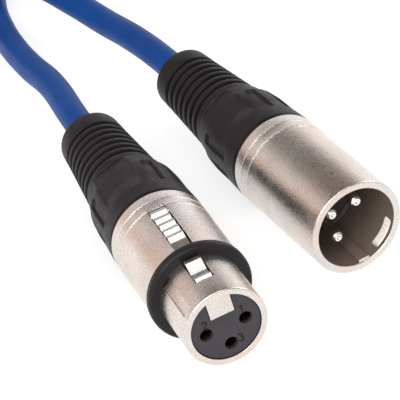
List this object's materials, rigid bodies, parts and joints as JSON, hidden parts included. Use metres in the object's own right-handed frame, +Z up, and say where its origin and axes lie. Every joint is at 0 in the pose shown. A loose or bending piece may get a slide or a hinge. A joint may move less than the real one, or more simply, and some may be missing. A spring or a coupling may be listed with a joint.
{
  "type": "xlr microphone cable",
  "caption": "Coiled microphone cable with a female and a male three-contact cable connector, each with a screwed bushing and a ribbed boot.",
  "frame": {"origin": "on the ground plane, under the middle of the box round the two connectors", "axes": "+Z up, +Y along the male connector's axis towards its cable, so its mouth faces -Y"},
  "size_m": [0.0828, 0.2475, 0.0235],
  "materials": {
    "shell_nickel": "satin nickel plate on a die casting",
    "seal_rubber": "matt black rubber",
    "grey_plastic": "dark grey moulded plastic",
    "dark_plastic": "very dark moulded plastic",
    "latch_nickel": "bright nickel plate",
    "steel": "plain steel",
    "spring_steel": "blued spring steel",
    "tag_metal": "tinned brass",
    "core_insulation": "soft insulation",
    "pale_plastic": "natural nylon",
    "bushing_plastic": "satin black plastic",
    "boot_rubber": "satin black flexible plastic",
    "blue_jacket": "satin blue flexible jacket",
    "socket_metal": "plated socket",
    "pin_metal": "silver plated pin"
  },
  "bodies": {
    "root": {"female_shell": "shell_nickel", "female_seal_ring": "seal_rubber", "female_insert": "grey_plastic", "female_contact_1": "socket_metal", "female_contact_2": "socket_metal", "female_contact_3": "socket_metal", "latch_pin": "steel", "latch_spring": "spring_steel", "female_ground_tag": "tag_metal", "female_cores": "core_insulation", "male_shell": "shell_nickel", "male_insert": "dark_plastic", "male_contact_1": "pin_metal", "male_contact_2": "pin_metal", "male_contact_3": "pin_metal", "male_ground_tag": "tag_metal", "male_cores": "core_insulation", "female_lead": "blue_jacket", "male_lead": "blue_jacket", "cable_coil": "blue_jacket"},
    "latch": {"latch_lever": "latch_nickel"},
    "female_collet": {"female_chuck": "pale_plastic"},
    "female_cap": {"female_bushing": "bushing_plastic", "female_boot": "boot_rubber"},
    "male_collet": {"male_chuck": "pale_plastic"},
    "male_cap": {"male_bushing": "bushing_plastic", "male_boot": "boot_rubber"}
  },
  "joints": [
    {"name": "latch_press", "type": "hinge", "parent": "root", "child": "latch", "pos_m": [-0.01802, -0.01465, 0.0179], "axis": [0.9554, -0.1258, 0.2672], "range_deg": [0, 3.2], "stiffness_Nm_per_rad": 0.3, "springref_deg": -2.86, "deforming": ["latch_spring"]},
    {"name": "female_collet_slide", "type": "slide", "parent": "root", "child": "female_collet", "axis": [0.1305, 0.9914, 0], "range_m": [0, 0.007]},
    {"name": "female_bushing_turn", "type": "hinge", "parent": "female_collet", "child": "female_cap", "pos_m": [-0.01287, 0.00747, 0.0099], "axis": [0.1305, 0.9914, 0], "range_deg": [0, 2520]},
    {"name": "male_collet_slide", "type": "slide", "parent": "root", "child": "male_collet", "axis": [0, 1, 0], "range_m": [0, 0.007]},
    {"name": "male_bushing_turn", "type": "hinge", "parent": "male_collet", "child": "male_cap", "pos_m": [0.0181, 0.0219, 0.0095], "axis": [0, 1, 0], "range_deg": [0, 2520]}
  ],
  "couplings": [
    {"joint": "female_bushing_turn", "follows": "female_collet_slide", "rad_per_m": 6283.2},
    {"joint": "male_bushing_turn", "follows": "male_collet_slide", "rad_per_m": 6283.2}
  ]
}
